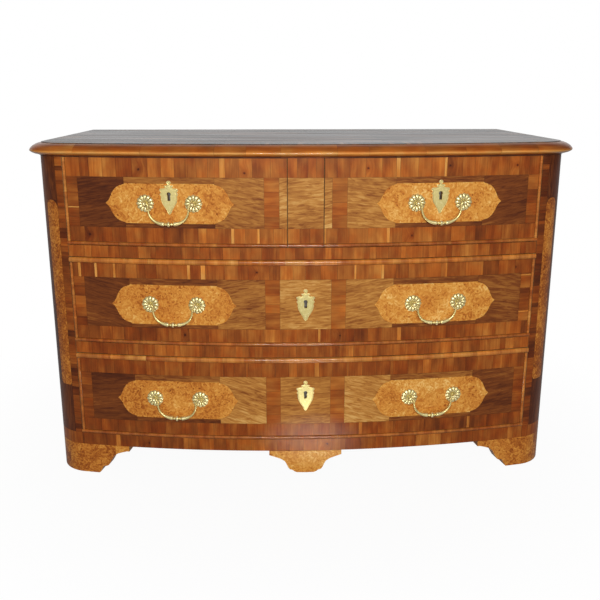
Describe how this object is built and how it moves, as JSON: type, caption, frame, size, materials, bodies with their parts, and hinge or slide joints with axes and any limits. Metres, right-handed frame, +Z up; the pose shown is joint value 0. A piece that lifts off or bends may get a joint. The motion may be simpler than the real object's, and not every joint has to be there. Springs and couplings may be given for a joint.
{
  "type": "chest of drawers",
  "caption": "Bow-fronted veneered chest of drawers with short drawers over long ones, drop handles, locks and bracket feet.",
  "frame": {"origin": "on the floor under the middle of the whole chest's plan", "axes": "+X to the right as seen from the front, +Y towards the back, +Z up; the drawers open along -Y"},
  "size_m": [1.314, 0.719, 0.832],
  "materials": {
    "crossband_veneer": "French polished cross-grained fruitwood veneer",
    "walnut_veneer": "French polished walnut veneer",
    "burr_veneer": "French polished burr veneer",
    "dark_polish": "dark polished walnut, high gloss",
    "pine": "planed, bare",
    "oak": "planed, bare",
    "brass": "pale gilt brass, chased and rubbed",
    "iron": "forged, dull"
  },
  "bodies": {
    "carcass": {"front_left_foot": "burr_veneer", "front_right_foot": "burr_veneer", "rear_left_post": "burr_veneer", "rear_right_post": "burr_veneer", "front_left_post": "walnut_veneer", "front_right_post": "walnut_veneer", "base_rail": "crossband_veneer", "lower_rail": "crossband_veneer", "upper_rail": "crossband_veneer", "centre_muntin": "walnut_veneer", "left_side_board": "walnut_veneer", "right_side_board": "walnut_veneer", "back_board": "pine", "bottom_board": "oak", "lower_dust_board": "oak", "upper_dust_board": "oak", "top_board": "dark_polish", "top_moulding": "crossband_veneer"},
    "top_left_drawer": {"top_left_drawer_front": "burr_veneer", "top_left_drawer_box": "oak", "top_left_drawer_bottom": "pine", "top_left_drawer_lock_case": "iron", "top_left_drawer_escutcheon": "brass", "top_left_left_rosette": "brass", "top_left_right_rosette": "brass"},
    "top_right_drawer": {"top_right_drawer_front": "burr_veneer", "top_right_drawer_box": "oak", "top_right_drawer_bottom": "pine", "top_right_drawer_lock_case": "iron", "top_right_drawer_escutcheon": "brass", "top_right_left_rosette": "brass", "top_right_right_rosette": "brass"},
    "middle_drawer": {"middle_drawer_front": "burr_veneer", "middle_drawer_box": "oak", "middle_drawer_bottom": "pine", "middle_drawer_lock_case": "iron", "middle_drawer_escutcheon": "brass", "middle_left_left_rosette": "brass", "middle_left_right_rosette": "brass", "middle_right_left_rosette": "brass", "middle_right_right_rosette": "brass"},
    "bottom_drawer": {"bottom_drawer_front": "burr_veneer", "bottom_drawer_box": "oak", "bottom_drawer_bottom": "pine", "bottom_drawer_lock_case": "iron", "bottom_drawer_escutcheon": "brass", "bottom_left_left_rosette": "brass", "bottom_left_right_rosette": "brass", "bottom_right_left_rosette": "brass", "bottom_right_right_rosette": "brass"},
    "top_left_drawer_lock_bolt": {"top_left_drawer_lock_bolt": "iron"},
    "top_right_drawer_lock_bolt": {"top_right_drawer_lock_bolt": "iron"},
    "middle_drawer_lock_bolt": {"middle_drawer_lock_bolt": "iron"},
    "bottom_drawer_lock_bolt": {"bottom_drawer_lock_bolt": "iron"},
    "top_left_bail": {"top_left_bail": "brass"},
    "top_right_bail": {"top_right_bail": "brass"},
    "middle_left_bail": {"middle_left_bail": "brass"},
    "middle_right_bail": {"middle_right_bail": "brass"},
    "bottom_left_bail": {"bottom_left_bail": "brass"},
    "bottom_right_bail": {"bottom_right_bail": "brass"}
  },
  "joints": [
    {"name": "top_left_drawer_slide", "type": "slide", "parent": "carcass", "child": "top_left_drawer", "axis": [0, -1, 0], "range_m": [0, 0.42]},
    {"name": "top_right_drawer_slide", "type": "slide", "parent": "carcass", "child": "top_right_drawer", "axis": [0, -1, 0], "range_m": [0, 0.42]},
    {"name": "middle_drawer_slide", "type": "slide", "parent": "carcass", "child": "middle_drawer", "axis": [0, -1, 0], "range_m": [0, 0.42]},
    {"name": "bottom_drawer_slide", "type": "slide", "parent": "carcass", "child": "bottom_drawer", "axis": [0, -1, 0], "range_m": [0, 0.42]},
    {"name": "top_left_drawer_bolt_throw", "type": "slide", "parent": "top_left_drawer", "child": "top_left_drawer_lock_bolt", "axis": [0, 0, 1], "range_m": [0, 0.009]},
    {"name": "top_right_drawer_bolt_throw", "type": "slide", "parent": "top_right_drawer", "child": "top_right_drawer_lock_bolt", "axis": [0, 0, 1], "range_m": [0, 0.009]},
    {"name": "middle_drawer_bolt_throw", "type": "slide", "parent": "middle_drawer", "child": "middle_drawer_lock_bolt", "axis": [0, 0, 1], "range_m": [0, 0.009]},
    {"name": "bottom_drawer_bolt_throw", "type": "slide", "parent": "bottom_drawer", "child": "bottom_drawer_lock_bolt", "axis": [0, 0, 1], "range_m": [0, 0.009]},
    {"name": "top_left_bail_swing", "type": "hinge", "parent": "top_left_drawer", "child": "top_left_bail", "pos_m": [-0.3162, -0.3295, 0.6972], "axis": [-0.9928, 0.1195, 0], "range_deg": [-6, 110]},
    {"name": "top_right_bail_swing", "type": "hinge", "parent": "top_right_drawer", "child": "top_right_bail", "pos_m": [0.3162, -0.3295, 0.6972], "axis": [-0.9928, -0.1195, 0], "range_deg": [-6, 110]},
    {"name": "middle_left_bail_swing", "type": "hinge", "parent": "middle_drawer", "child": "middle_left_bail", "pos_m": [-0.3162, -0.3295, 0.45505], "axis": [-0.9928, 0.1195, 0], "range_deg": [-6, 110]},
    {"name": "middle_right_bail_swing", "type": "hinge", "parent": "middle_drawer", "child": "middle_right_bail", "pos_m": [0.3162, -0.3295, 0.45505], "axis": [-0.9928, -0.1195, 0], "range_deg": [-6, 110]},
    {"name": "bottom_left_bail_swing", "type": "hinge", "parent": "bottom_drawer", "child": "bottom_left_bail", "pos_m": [-0.3162, -0.3295, 0.21415], "axis": [-0.9928, 0.1195, 0], "range_deg": [-6, 110]},
    {"name": "bottom_right_bail_swing", "type": "hinge", "parent": "bottom_drawer", "child": "bottom_right_bail", "pos_m": [0.3162, -0.3295, 0.21415], "axis": [-0.9928, -0.1195, 0], "range_deg": [-6, 110]}
  ]
}
